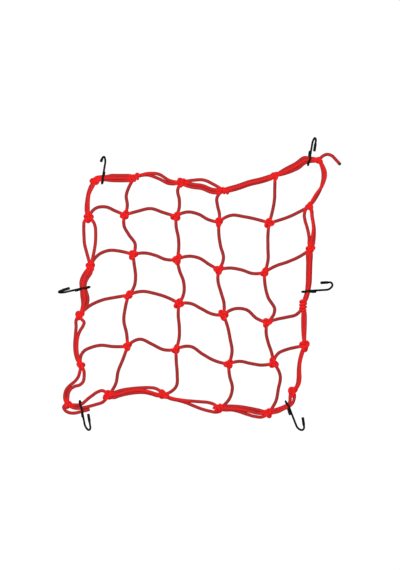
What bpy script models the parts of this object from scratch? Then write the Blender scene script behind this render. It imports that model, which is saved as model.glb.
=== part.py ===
"""Luggage net of knotted elastic cord, lying flat, with six coated wire hooks round its border.

Metres, +Z up, the middle of the whole thing at the origin on the surface that it lies on.
Every number in the tables and constants is in millimetres or degrees, and MM turns it into metres.
"""

import math
from collections import namedtuple

import bpy
import numpy as np

MM = 0.001

# Cord
CORD_SIDES = 6
CORD_RADIUS = 2.8  # corner radius of the six-sided cord, as broad as a round 5.6 mm one
CORD_FLAT = CORD_RADIUS * math.cos(math.pi / CORD_SIDES)  # centre to flat side
CORD_GAP = 0.5  # kept between cords that run side by side
KNOT_MIDDLE = 5.6  # height at which cords go into a knot
KNOT_REACH = 24.0  # distance from a knot over which a cord comes down to the surface
GRIP_NEAR, GRIP_FAR = 2.0, 16.0  # distances beside a hook over which its eye's grip on the cords fades
GRIP_INSIDE, GRIP_OUTSIDE = 12.0, 20.0  # distances along a hook over which it fades
STRAIGHTNESS = 1.3  # how far a cord's straight pieces may stray from its smooth line

# Knot bodies: two wraps round the long axis. Columns: place along the axis, share of the full girth
WRAPS = ((-1.0, 0.5), (-0.55, 1.0), (0.0, 0.78), (0.55, 1.0), (1.0, 0.5))
KNOT_SIDES = 6
KNOT_HEIGHT = 11.5

# Hook wire
WIRE_SIDES = 6
WIRE_RADIUS = 1.6
WIRE_GAP = 0.4  # kept between the wire and the cords, and between the wire and itself
TIP_RADIUS = 2.3  # of the thicker coat on the tip
TIP_COAT = 13.0
CUT_END_RADIUS = 2.1  # and of the one on the cut end beside the eye
WIDE_RADIUS = 14.0  # of the arc that leads from the shank into the bend
WIDE_TURN = 50.0
BEND_RADIUS = 4.4
EYE_CLEAR = 0.4  # kept between the eye and the surface
EYE_TWIST = 1.0  # sideways, at the eye's inner end
EYE_LIFT_REACH = 22.0  # distance past an eye over which cords raised for it come down to the surface again
EYE_END_HEIGHT = 0.45  # height of the cut end as a share of the shank's over it
SHANK_START = 3.0  # from the start of the straight shank to the outer end of the eye
EYE_STEPS = 15
WIDE_STEPS = 3
BEND_STEPS = 5

Knot = namedtuple("Knot", "x y turn length width")
Span = namedtuple("Span", "start end quarter half three_quarters lanes")
Strand = namedtuple("Strand", "start end lift places")
Hook = namedtuple("Hook", "x y heading side roll flare reach tip eye over grip back beside")

# Knots, seen from above: place, turn of the long axis, length, width
KNOTS = {
    "top_left": Knot(-174, 174, 25, 19, 14),
    "top_1": Knot(-109, 178, 30, 22, 12),
    "top_2": Knot(-31, 171, 70, 17, 15),
    "top_3": Knot(39, 157, -4, 23, 12),
    "top_4": Knot(125, 182, -60, 14, 13),
    "top_right": Knot(198, 207, -30, 13, 11),
    "right_1": Knot(182, 131, 60, 15, 13),
    "right_2": Knot(184, 60, 5, 16, 12),
    "right_3": Knot(171.5, -34, 88, 22, 13),
    "right_4": Knot(174, -101, 90, 20, 17),
    "bottom_right": Knot(154, -177, 60, 21, 15),
    "bottom_4": Knot(113, -213, -50, 17, 15),
    "bottom_3": Knot(31, -205, 15, 20, 14),
    "bottom_2": Knot(-61, -182.5, -35, 20, 15),
    "bottom_1": Knot(-152, -184, 50, 17, 15),
    "bottom_left": Knot(-220, -198.5, 80, 14.5, 12.5),
    "left_4": Knot(-198, -134, -40, 15, 13),
    "left_3": Knot(-200.5, -50, 50, 18, 14),
    "left_2": Knot(-182, 31, -60, 17, 15),
    "left_1": Knot(-185.5, 111.5, 20, 17, 16),
    "inner_11": Knot(-125, 116.5, 50, 17, 14),
    "inner_12": Knot(-40, 114, 30, 18, 15),
    "inner_13": Knot(31.5, 104.5, 85, 17, 12.5),
    "inner_14": Knot(115, 103, 35, 18, 15),
    "inner_21": Knot(-111.5, 50.3, 40, 18, 15),
    "inner_22": Knot(-38, 42.5, 65, 20, 15),
    "inner_23": Knot(31, 25.3, 30, 18, 16),
    "inner_24": Knot(107.3, 21, 60, 16, 13),
    "inner_31": Knot(-119, -17, 50, 16, 12.5),
    "inner_32": Knot(-35, -31, 40, 19, 15),
    "inner_33": Knot(39, -50, -55, 20, 15),
    "inner_34": Knot(111.5, -62.5, 40, 18, 15),
    "inner_41": Knot(-120.7, -102, 50, 16, 14),
    "inner_42": Knot(-40, -107, 70, 17, 12.5),
    "inner_43": Knot(47.5, -131.5, 35, 17, 15),
    "inner_44": Knot(122, -130, -60, 19, 16),
}

# Lanes: for each cord of a span, its offset to the left of the way it runs, and its lift
SIDE_BY_SIDE = CORD_RADIUS + CORD_GAP / 2
OUTER = 4.8
RAISED = 3.0
LANES = {
    "one": ((0, 0),),
    "raised": ((0, RAISED),),
    "two": ((-SIDE_BY_SIDE, 0), (SIDE_BY_SIDE, 0)),
    "three": ((-OUTER, 0), (0, RAISED), (OUTER, 0)),
    "pile": ((-SIDE_BY_SIDE, 0), (SIDE_BY_SIDE, 0), (0, 4.9)),
}

# Spans between knots: the two knots, then how far the cord bows to the left of the straight line at its
# quarter, half and three quarters, then its lanes. Rows run left to right, columns top to bottom.
SPANS = (
    # rows
    Span("left_1", "inner_11", 16, 16, 8, "one"),
    Span("inner_11", "inner_12", 7, 12, 6, "one"),
    Span("inner_12", "inner_13", 10, 9, 2, "one"),
    Span("inner_13", "inner_14", 12, 10, 6, "one"),
    Span("inner_14", "right_1", -2, -3, -2, "one"),
    Span("left_2", "inner_21", 15.5, 17.5, 11, "one"),
    Span("inner_21", "inner_22", 5, 3, -2, "one"),
    Span("inner_22", "inner_23", 10, 11, 5, "one"),
    Span("inner_23", "inner_24", 4, 2, -3, "one"),
    Span("inner_24", "right_2", 1, -2, -3, "one"),
    Span("left_3", "inner_31", 8, 9, 5, "one"),
    Span("inner_31", "inner_32", 10, 10, 7, "one"),
    Span("inner_32", "inner_33", 5, 1, -3, "one"),
    Span("inner_33", "inner_34", 14, 15, 4, "one"),
    Span("inner_34", "right_3", -2, -6, -9, "one"),
    Span("inner_41", "inner_42", 13, 6, -2, "one"),
    Span("inner_42", "inner_43", 11, 4, -1, "one"),
    Span("inner_43", "inner_44", 4, 0, -3, "one"),
    Span("inner_44", "right_4", 10, 9, 5, "one"),
    # columns
    Span("top_1", "inner_11", -5, -6, 0, "one"),
    Span("inner_11", "inner_21", -5, 0, 7, "one"),
    Span("inner_21", "inner_31", 4, 8, 8, "one"),
    Span("inner_31", "inner_41", -5, -7, -2, "one"),
    Span("inner_41", "bottom_1", 1, 1, 5, "one"),
    Span("top_2", "inner_12", -4, 1, 3, "one"),
    Span("inner_12", "inner_22", 0, 3, 3, "one"),
    Span("inner_22", "inner_32", 3, 9, 9, "one"),
    Span("inner_32", "inner_42", 0, 3, 4, "one"),
    Span("inner_42", "bottom_2", 6, 13, 17, "one"),
    Span("top_3", "inner_13", -9, -6, -1, "one"),
    Span("inner_13", "inner_23", 0, 3, 8, "one"),
    Span("inner_23", "inner_33", -3, 0, 3, "one"),
    Span("inner_33", "inner_43", 5, 7, 8, "one"),
    Span("inner_43", "bottom_3", 6, 15, 14, "one"),
    Span("top_4", "inner_14", 2, 4, 3, "one"),
    Span("inner_14", "inner_24", 0, 2, 4, "one"),
    Span("inner_24", "inner_34", 0, 4, 14, "one"),
    Span("inner_34", "inner_44", -4, -3, 0, "one"),
    Span("inner_44", "bottom_4", 14, 13, 11, "one"),
    # border, top
    Span("top_left", "top_1", 3, 2, 1, "three"),
    Span("top_1", "top_2", 9, 10, 1, "raised"),
    Span("top_1", "top_2", 7, 3, -4, "one"),
    Span("top_2", "top_3", 7, 11, 7, "one"),
    Span("top_2", "top_3", -2, -1, -4, "two"),
    Span("top_3", "top_4", -1, 0, -1, "pile"),
    Span("top_4", "top_right", 5, 8, 13, "one"),
    Span("top_4", "top_right", 1, 4, 7, "raised"),
    Span("top_4", "top_right", -2, -1, 2, "one"),
    # border, right
    Span("top_right", "right_1", 15, 14, 6, "raised"),
    Span("top_right", "right_1", 11, 13, 9, "one"),
)

# Strands that wander more: two knots, lift, and the places that they pass between them
STRANDS = (
    # right
    Strand("right_1", "right_2", 0, (
        (175.7, 125), (173.7, 117), (175, 107), (178, 97), (180.4, 87), (181.8, 77), (181.5, 68),
    )),
    Strand("right_1", "right_2", 0, (
        (185.8, 125), (186.8, 115), (188.5, 105), (190, 95), (190.3, 85), (189.6, 75), (188.3, 67),
    )),
    Strand("right_1", "right_2", 3, (
        (185, 124), (186.3, 113), (188, 103), (188.7, 93), (187.3, 83), (185.5, 73),
    )),
    Strand("right_2", "right_3", 0, (
        (179.3, 52), (179, 38), (178.6, 20), (178, 2), (176.3, -12), (173.3, -24),
    )),
    Strand("right_2", "right_3", 0, (
        (185.6, 52), (185.4, 38), (185, 20), (183.8, 2), (181, -12), (176.8, -24),
    )),
    Strand("right_2", "right_3", 3, ((182.5, 30), (182, 15), (181, 0), (178.5, -13))),
    Strand("right_3", "right_4", 0, ((171.3, -48), (171, -60), (171.2, -72), (172, -86))),
    Strand("right_3", "right_4", 0, ((175, -48), (175.3, -60), (175, -72), (174.3, -86))),
    Strand("right_4", "bottom_right", 0, (
        (169.5, -111), (167, -120), (165, -130), (163.8, -142), (163.5, -154), (162, -165),
    )),
    Strand("right_4", "bottom_right", 3, (
        (171, -112), (168.5, -120), (166.3, -130), (165.8, -142), (166.2, -154), (164.5, -165),
    )),
    Strand("bottom_right", "bottom_4", 0, (
        (149.3, -184), (149, -190), (147.3, -196), (140, -201.5), (130, -206), (121, -209),
    )),
    Strand("bottom_right", "bottom_4", 0, (
        (157.3, -184), (156.3, -190), (153.3, -197), (146.5, -203), (139, -206.3), (129, -211),
    )),
    # bottom
    Strand("bottom_1", "bottom_2", 0, (
        (-142, -179.5), (-130, -175.8), (-115, -173.5), (-100, -172), (-85, -171.3), (-74, -172.3),
    )),
    Strand("bottom_1", "bottom_2", 0, (
        (-143, -187), (-135, -183), (-120, -180), (-105, -177.7), (-92, -178), (-80, -181),
        (-70, -184.5),
    )),
    Strand("bottom_1", "bottom_2", 3, (
        (-140, -182.5), (-120, -177), (-100, -174.8), (-85, -177.5), (-72, -181.5),
    )),
    Strand("bottom_2", "bottom_3", 3, (
        (-50, -187.5), (-30, -191.5), (-12, -193.3), (2, -194.3), (15, -195.7), (24, -199),
    )),
    Strand("bottom_2", "bottom_3", 0, (
        (-50, -189), (-35, -192.5), (-22, -196.5), (-10, -201.5), (3, -206.5), (16, -210),
        (28, -211.6), (35, -209),
    )),
    Strand("bottom_3", "bottom_4", 0, ((42, -202), (55, -201.7), (70, -203), (85, -205.6), (98, -208.3))),
    Strand("bottom_3", "bottom_4", 3, (
        (42, -205.5), (55, -205.5), (70, -207.5), (85, -210.7), (98, -213.5),
    )),
    Strand("bottom_3", "bottom_4", 0, (
        (41, -208), (52, -208), (64, -210.5), (78, -215.2), (92, -219), (104, -219.5),
    )),
    # left
    Strand("top_left", "left_1", 0, (
        (-180.5, 167), (-184, 160), (-186.8, 150), (-188.5, 140), (-189.5, 130), (-189, 121),
    )),
    Strand("top_left", "left_1", 3, (
        (-177, 166), (-181.3, 158.5), (-184.8, 150), (-185.8, 140), (-186, 130), (-186, 121),
    )),
    Strand("left_1", "left_2", 0, ((-192.5, 106), (-193.5, 97), (-193.2, 82), (-192.2, 68), (-189.2, 56))),
    Strand("left_1", "left_2", 0, ((-178, 106), (-174.7, 98), (-173.7, 84), (-174.2, 70), (-176.6, 55))),
    Strand("left_2", "left_3", 0, (
        (-191.3, 20), (-195.3, 12), (-197.7, 3), (-197.7, -5), (-196.3, -15), (-194.5, -25),
        (-195.3, -33),
    )),
    Strand("left_2", "left_3", 0, (
        (-181.5, 20), (-186, 13), (-189.5, 5), (-190.3, -3), (-188.3, -12), (-186.5, -22),
        (-187.3, -30), (-190.5, -38),
    )),
    Strand("left_2", "left_3", 3, (
        (-186.3, 21), (-190.8, 13), (-193.6, 4), (-194, -5), (-192.6, -15), (-191.5, -23),
        (-193.3, -33),
    )),
    Strand("left_3", "left_4", 0, (
        (-206, -58), (-206.3, -70), (-207.6, -85), (-208.6, -100), (-207.8, -112), (-204.5, -124),
    )),
    Strand("left_3", "left_4", 3, (
        (-197, -57), (-192.8, -62), (-194.8, -68.5), (-199.5, -76), (-203.2, -86), (-204.7, -98),
        (-204.5, -110),
    )),
    Strand("left_4", "inner_41", 0, (
        (-199.3, -125), (-197.5, -116), (-192, -109), (-183, -104.6), (-166.8, -100.5),
        (-143.3, -102.6),
    )),
    Strand("left_4", "bottom_left", 0, (
        (-200, -144), (-203, -153.5), (-209, -161), (-217, -167.5), (-223, -175), (-225.3, -184),
        (-224.5, -192),
    )),
    Strand("left_4", "bottom_left", 2, (
        (-193.5, -142), (-192.8, -152), (-194.3, -160.5), (-200, -166.3), (-208.5, -168.7),
        (-215.5, -172.5), (-220.3, -179.5), (-221.8, -188),
    )),
    Strand("bottom_left", "bottom_1", 0, (
        (-207, -199), (-199, -197.8), (-190, -191.5), (-180, -184.5), (-171, -178.3),
        (-162, -175.8),
    )),
    Strand("bottom_left", "bottom_1", 0, (
        (-214, -203), (-206, -205), (-195, -204), (-184, -201.7), (-173, -198.8), (-162, -195),
    )),
)

# The two ends of the cord: from a knot through these places on the surface
LOOSE_END = ("top_right", ((205, 215), (212, 217.5), (219, 215.5), (226, 209), (233, 201.5)))
CUT_END = ("bottom_left", (
    (-227, -203), (-224.5, -208.7), (-218, -212.3), (-207, -213), (-194, -211), (-183, -207.5),
))

# Hooks: crossing of the border, heading, side to which the hook turns (1 left, -1 right), roll of its plane
# from lying flat, flare of its tip, reach to the end of the bend, tip's length, half the eye's length, height
# over the cords, share of the border's width that the eye leaves, and the cut end's place along and beside
# the shank
HOOKS = {
    "hook_top_left": Hook(-161.4, 177.5, 80.5, 1, 55, 22, 35.8, 5.5, 9.0, 15, 0.55, 10, 0.3),
    "hook_top_right": Hook(181.8, 208, 80.5, -1, 62, 2, 38, 16.5, 9.2, 15, 0.6, 14, 1.3),
    "hook_left": Hook(-193.5, -5, 193, -1, 70, 10, 41, 15, 10.2, 15, 0.8, 14, 1.0),
    "hook_right": Hook(179.5, -9.7, 3, 1, 0, 0, 41.5, 16, 9.8, 14.6, 0.9, 12.5, 2.0),
    "hook_bottom_left": Hook(-196.7, -204.5, -78.8, 1, 51, 3, 38, 21.5, 12.2, 12.6, 0.85, 14.5, 1.4),
    "hook_bottom_right": Hook(147.2, -201, -68.5, 1, 20, 14, 46.5, 15.5, 8.9, 12.6, 0.75, 14.5, 2.8),
}


def clear_scene():
    for thing in list(bpy.data.objects):
        bpy.data.objects.remove(thing, do_unlink=True)


def material(name, colour, roughness):
    made = bpy.data.materials.new(name)
    made.use_nodes = True
    shader = made.node_tree.nodes["Principled BSDF"]
    shader.inputs["Base Color"].default_value = (*colour, 1.0)
    shader.inputs["Roughness"].default_value = roughness
    shader.inputs["Metallic"].default_value = 0.0
    return made


def ramp(away, near, far):
    """1 up to the near distance, then evenly down to 0 at the far one."""
    return np.clip((far - away) / (far - near), 0.0, 1.0)


def curve_through(points, count):
    """Smooth cubic curve through the points, by the distance along them, at this many even places."""
    points = np.asarray(points, float)
    gaps = np.linalg.norm(np.diff(points, axis=0), axis=1)
    at = np.concatenate([[0.0], np.cumsum(gaps)])
    slopes = np.gradient(points, at, axis=0, edge_order=2)
    where = np.linspace(0.0, at[-1], count)
    piece = np.clip(np.searchsorted(at, where, side="right") - 1, 0, len(gaps) - 1)
    gap = gaps[piece][:, None]
    t = (where - at[piece])[:, None] / gap
    before, after = points[piece], points[piece + 1]
    rise, fall = slopes[piece] * gap, slopes[piece + 1] * gap
    return (
        (2 * t**3 - 3 * t**2 + 1) * before
        + (t**3 - 2 * t**2 + t) * rise
        + (3 * t**2 - 2 * t**3) * after
        + (t**3 - t**2) * fall
    )


def directions(points):
    along = np.gradient(points, axis=0)
    return along / np.linalg.norm(along, axis=1)[:, None]


def fewest(points):
    """The points that a line needs to stay within STRAIGHTNESS of all of them."""
    chord = points[-1] - points[0]
    share = np.clip((points - points[0]) @ chord / (chord @ chord), 0.0, 1.0)
    off = np.linalg.norm(points - points[0] - share[:, None] * chord, axis=1)
    worst = int(off.argmax())
    if off[worst] < STRAIGHTNESS:
        return points[[0, -1]]
    return np.vstack([fewest(points[: worst + 1])[:-1], fewest(points[worst:])])


def eye_lift(plan):
    """How far the cords rise at these places so that a hook's eye passes under them."""
    share = np.zeros(len(plan))
    for hook in HOOKS.values():
        away = np.linalg.norm(plan - (hook.x, hook.y), axis=1)
        share = np.maximum(share, ramp(away, hook.eye, hook.eye + EYE_LIFT_REACH))
    return share * (EYE_CLEAR + 2 * WIRE_RADIUS + WIRE_GAP + STRAIGHTNESS / 2)


def eased_ramp(away, near, far):
    """The same as ramp, with a soft start and a soft end."""
    share = ramp(away, near, far)
    return share * share * (3 - 2 * share)


def gripped(plan):
    """The same places, with the border's cords closed up towards the middle of each eye."""
    for hook in HOOKS.values():
        heading = math.radians(hook.heading)
        out = np.array((math.cos(heading), math.sin(heading)))
        along = (plan - (hook.x, hook.y)) @ out
        beside = np.abs((plan - (hook.x, hook.y)) @ (-out[1], out[0]))
        near = eased_ramp(beside, GRIP_NEAR, GRIP_FAR)
        near = near * eased_ramp(np.abs(along), GRIP_INSIDE, GRIP_OUTSIDE)
        plan = plan - ((1 - hook.grip) * near * along)[:, None] * out
    return plan


def heights(plan, lift, tied_ends):
    """Height of a cord's middle: up at its knots, down on the surface between, and up again at a hook."""
    gone = np.concatenate([[0.0], np.cumsum(np.linalg.norm(np.diff(plan, axis=0), axis=1))])
    near = ramp(gone, 0.0, KNOT_REACH)
    if tied_ends == 2:
        near = np.maximum(near, ramp(gone[-1] - gone, 0.0, KNOT_REACH))
    low = CORD_FLAT + lift * (1 - near) + eye_lift(plan)
    return np.maximum(low, CORD_FLAT + near * (KNOT_MIDDLE - CORD_FLAT + lift / 2))


def span_lines(span):
    """Centre line of each cord of one span, in millimetres."""
    start, end = KNOTS[span.start], KNOTS[span.end]
    a, b = np.array((start.x, start.y), float), np.array((end.x, end.y), float)
    along = (b - a) / np.linalg.norm(b - a)
    left = np.array((-along[1], along[0]))
    bows = (0, span.quarter, span.half, span.three_quarters, 0)
    plan = [a + (b - a) * k / 4 + left * bow for k, bow in enumerate(bows)]
    for offset, lift in LANES[span.lanes]:
        fine = curve_through(plan, 41)
        lane = gripped(fine + offset * directions(fine)[:, ::-1] * (-1, 1))
        yield fewest(np.column_stack([lane, heights(lane, lift, tied_ends=2)]))


def strand_line(strand):
    """Centre line of one strand, from knot to knot."""
    start, end = KNOTS[strand.start], KNOTS[strand.end]
    plan = gripped(curve_through([(start.x, start.y), *strand.places, (end.x, end.y)], 61))
    return fewest(np.column_stack([plan, heights(plan, strand.lift, tied_ends=2)]))


def end_line(end):
    """Centre line of a free end, from the middle of its knot."""
    knot, places = end
    plan = gripped(curve_through([(KNOTS[knot].x, KNOTS[knot].y), *places], 41))
    return fewest(np.column_stack([plan, heights(plan, 0, tied_ends=1)]))


def closed_tube(name, points, radii, sides, ups):
    """Tube of flat sides along the points, with one side square to each up vector."""
    along = directions(points)
    left = np.cross(ups, along)
    left /= np.linalg.norm(left, axis=1)[:, None]
    up = np.cross(along, left)
    angle = np.arange(sides) * 2 * math.pi / sides
    across = np.cos(angle)[None, :, None] * left[:, None] + np.sin(angle)[None, :, None] * up[:, None]
    rings = points[:, None] + across * np.asarray(radii)[:, None, None]
    return lofted(name, rings)


def lofted(name, rings):
    """Closed mesh through rings of the same number of points, in millimetres, capped at both ends."""
    count, sides = rings.shape[:2]
    faces = []
    for i in range(count - 1):
        for j in range(sides):
            k = (j + 1) % sides
            faces.append((i * sides + j, i * sides + k, (i + 1) * sides + k, (i + 1) * sides + j))
    faces.append(tuple(range(sides))[::-1])
    faces.append(tuple(range((count - 1) * sides, count * sides)))
    mesh = bpy.data.meshes.new(name)
    mesh.from_pydata((rings.reshape(-1, 3) * MM).tolist(), [], faces)
    mesh.validate()
    return mesh


def cord_mesh(name, line):
    ups = np.tile((0.0, 0.0, 1.0), (len(line), 1))
    return closed_tube(name, line, [CORD_RADIUS] * len(line), CORD_SIDES, ups)


def knot_mesh(name, knot):
    """Ridged body of two wraps round the knot's long axis, flat where it lies on the surface."""
    turn = math.radians(knot.turn)
    angle = np.arange(KNOT_SIDES) * 2 * math.pi / KNOT_SIDES + math.pi / 2
    rings = np.empty((len(WRAPS), KNOT_SIDES, 3))
    for ring, (place, girth) in zip(rings, WRAPS):
        along = knot.length / 2 * place
        across = knot.width / 2 * girth * np.cos(angle)
        ring[:, 0] = knot.x + along * math.cos(turn) - across * math.sin(turn)
        ring[:, 1] = knot.y + along * math.sin(turn) + across * math.cos(turn)
        ring[:, 2] = np.maximum(KNOT_MIDDLE + KNOT_HEIGHT / 2 * girth * np.sin(angle), 0.0)
    return lofted(name, rings)


def net():
    """One solid: every knot and every cord joined."""
    meshes = [knot_mesh(name, knot) for name, knot in KNOTS.items()]
    lines = [line for span in SPANS for line in span_lines(span)]
    lines += [strand_line(strand) for strand in STRANDS]
    lines += [end_line(LOOSE_END), end_line(CUT_END)]
    meshes += [cord_mesh("cord", line) for line in lines]
    joined = bpy.data.collections.new("net_pieces")
    bpy.context.scene.collection.children.link(joined)
    for mesh in meshes[1:]:
        piece = bpy.data.objects.new("piece_of_net", mesh)
        piece.hide_render = True
        piece.display_type = "WIRE"
        joined.objects.link(piece)
    made = bpy.data.objects.new("net", meshes[0])
    bpy.context.scene.collection.objects.link(made)
    union = made.modifiers.new("tied", "BOOLEAN")
    union.operation = "UNION"
    union.operand_type = "COLLECTION"
    union.collection = joined
    union.solver = "EXACT"
    return made


def hook_line(hook, pitch):
    """Centre line of a hook's wire, its radii and the way one of its flat sides faces, in the hook's own frame.

    X runs outwards from where the eye holds the border, Z is up, and the wire starts at the eye's cut end,
    which lies beside the shank, goes under the border, up round it, back over it and out to the hook.
    """
    low, eye, over = WIRE_RADIUS + EYE_CLEAR, hook.eye, hook.over
    u = np.array((math.cos(pitch), 0.0, math.sin(pitch)))
    roll = math.radians(hook.roll)
    down = np.array((math.sin(pitch), 0.0, -math.cos(pitch)))
    v = math.cos(roll) * hook.side * np.array((0.0, 1.0, 0.0)) + math.sin(roll) * down
    w = np.cross(u, v)
    start = np.array((eye - SHANK_START, 0.0, over))
    beside, twist = -hook.side * hook.beside, hook.side * EYE_TWIST
    end_height = (over + (hook.back - start[0]) * math.tan(pitch)) * EYE_END_HEIGHT
    loop = [
        (hook.back, beside, end_height),
        (eye - 1.0, beside, low + 1.0),
        (eye - 4.0, beside, low),
        (0.0, beside, low),
        (3.0 - eye, beside * 0.9 + twist, low + 0.9),
        (-eye, beside * 0.6, (low + over) / 2),
        (3.0 - eye, beside * 0.2 - twist, over - 1.1),
        (0.0, 0.0, over),
        tuple(start),
    ]
    eye_line = curve_through(loop, EYE_STEPS + 1)
    wide, change = WIDE_RADIUS, math.radians(WIDE_TURN)
    extent = wide * math.sin(change) + BEND_RADIUS * (1 - math.sin(change))
    bend_start = start + u * ((hook.reach - start[0]) / math.cos(pitch) - extent)
    last = math.pi - math.radians(hook.flare)
    easing = np.linspace(0, change, WIDE_STEPS + 1)[:-1]
    turns = np.append(easing, np.linspace(change, last, BEND_STEPS + 1))[:, None]
    first, second = np.minimum(turns, change), np.maximum(turns, change)
    along = wide * np.sin(first) + BEND_RADIUS * (np.sin(second) - math.sin(change))
    aside = wide * (1 - np.cos(first)) + BEND_RADIUS * (math.cos(change) - np.cos(second))
    bend = bend_start + along * u + aside * v
    inwards = np.cos(turns) * v - np.sin(turns) * u
    back = math.cos(last) * u + math.sin(last) * v
    bare = max(hook.tip - TIP_COAT, 0.0)
    places = (bare + 0.5, bare + 2.0, hook.tip - 0.8, hook.tip)
    tip = [bend[-1] + back * place for place in places]
    points = np.vstack([eye_line, bend, tip])
    radii = np.full(len(points), WIRE_RADIUS)
    radii[:2] = CUT_END_RADIUS
    radii[-3:] = TIP_RADIUS, TIP_RADIUS, TIP_RADIUS * 0.7
    # One flat side faces into the bend. The side followed from the eye on is the one that turns least.
    inwards = np.vstack([inwards, np.tile(inwards[-1], (len(tip), 1))])
    angles = np.arange(WIRE_SIDES) * 2 * math.pi / WIRE_SIDES
    sides = [math.cos(angle) * inwards + math.sin(angle) * w for angle in angles]
    flat_side = max(sides, key=lambda side: side[0, 1])
    facing = np.vstack([np.tile((0.0, 1.0, 0.0), (len(eye_line), 1)), flat_side])
    return points, radii, facing


def hook_pitch(hook):
    """Pitch of the shank at which the hook's end just touches the surface."""
    low, high = math.radians(-30), math.radians(50)
    for _ in range(40):
        middle = (low + high) / 2
        points, radii, _ = hook_line(hook, middle)
        outer = slice(EYE_STEPS + 1, None)
        lowest = (points[outer, 2] - np.array(radii)[outer]).min()
        low, high = (middle, high) if lowest < 0 else (low, middle)
    return high


def hook_object(name, hook):
    points, radii, facing = hook_line(hook, hook_pitch(hook))
    heading = math.radians(hook.heading)
    turn = np.array(
        ((math.cos(heading), -math.sin(heading), 0), (math.sin(heading), math.cos(heading), 0), (0, 0, 1))
    )
    placed = points @ turn.T + (hook.x, hook.y, 0)
    mesh = closed_tube(name, placed, radii, WIRE_SIDES, facing @ turn.T)
    made = bpy.data.objects.new(name, mesh)
    bpy.context.scene.collection.objects.link(made)
    return made


def main():
    clear_scene()
    red_cord = material("red_elastic_cord", (0.80, 0.02, 0.02), 0.75)
    black_coat = material("black_coated_wire", (0.012, 0.012, 0.013), 0.35)
    net().data.materials.append(red_cord)
    for name, hook in HOOKS.items():
        hook_object(name, hook).data.materials.append(black_coat)


main()
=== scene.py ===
import math
from collections import namedtuple

import bpy
import numpy as np
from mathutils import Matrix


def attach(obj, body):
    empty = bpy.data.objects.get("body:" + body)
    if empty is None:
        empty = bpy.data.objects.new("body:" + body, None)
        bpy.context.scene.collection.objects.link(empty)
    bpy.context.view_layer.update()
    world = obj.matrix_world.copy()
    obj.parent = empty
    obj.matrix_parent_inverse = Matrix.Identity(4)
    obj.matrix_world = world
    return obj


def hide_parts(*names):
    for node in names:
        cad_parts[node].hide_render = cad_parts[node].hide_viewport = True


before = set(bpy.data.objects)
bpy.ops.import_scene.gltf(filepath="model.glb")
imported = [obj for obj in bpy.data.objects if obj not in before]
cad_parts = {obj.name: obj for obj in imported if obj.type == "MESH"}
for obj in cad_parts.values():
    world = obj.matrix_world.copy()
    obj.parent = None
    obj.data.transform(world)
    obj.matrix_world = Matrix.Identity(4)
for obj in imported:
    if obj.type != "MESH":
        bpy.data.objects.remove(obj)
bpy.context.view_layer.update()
millimetre = 0.001
capReach = 0.5  # from a tube's rim to the middle of its end, in widths, for the UV map

Knot = namedtuple("Knot", "x y turn length width")
Span = namedtuple("Span", "start end quarter half threeQuarters lanes")
Strand = namedtuple("Strand", "start end lift places")
Hook = namedtuple("Hook", "x y heading side roll flare reach tip eye over grip back beside")


# ---- curves and tubes, in millimetres ----


def ramp(away, near, far):
    # 1 up to the near distance, then evenly down to 0 at the far one
    return np.clip((far - away) / (far - near), 0.0, 1.0)


def easedRamp(away, near, far):
    # the same with a soft start and a soft end
    share = ramp(away, near, far)
    return share * share * (3 - 2 * share)


def distanceAlong(points):
    return np.concatenate([[0.0], np.cumsum(np.linalg.norm(np.diff(points, axis=0), axis=1))])


def distanceLeft(points):
    gone = distanceAlong(points)
    return gone[-1] - gone


def fromEnds(points):
    # distance along the line to the nearer of its ends
    return np.minimum(distanceAlong(points), distanceLeft(points))


def curveThrough(points, count):
    # cubic pieces through the points, each with the slope of its neighbours, at even distances
    points = np.asarray(points, float)
    at = distanceAlong(points)
    gaps = np.diff(at)
    slopes = np.gradient(points, at, axis=0, edge_order=2)
    where = np.linspace(0.0, at[-1], count)
    piece = np.clip(np.searchsorted(at, where, side="right") - 1, 0, len(gaps) - 1)
    gap = gaps[piece][:, None]
    t = (where - at[piece])[:, None] / gap
    before, after = points[piece], points[piece + 1]
    rise, fall = slopes[piece] * gap, slopes[piece + 1] * gap
    return (
        (2 * t**3 - 3 * t**2 + 1) * before
        + (t**3 - 2 * t**2 + t) * rise
        + (3 * t**2 - 2 * t**3) * after
        + (t**3 - t**2) * fall
    )


def evenly(points, step):
    # the same line with its points an even step apart
    at = distanceAlong(points)
    where = np.linspace(0.0, at[-1], max(4, int(round(at[-1] / step)) + 1))
    return np.column_stack([np.interp(where, at, points[:, k]) for k in range(points.shape[1])])


def levelUps(points):
    return np.tile((0.0, 0.0, 1.0), (len(points), 1))


def directions(points, closed=False):
    if closed:
        along = np.roll(points, -1, axis=0) - np.roll(points, 1, axis=0)
    else:
        along = np.gradient(points, axis=0)
    return along / np.linalg.norm(along, axis=1)[:, None]


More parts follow.
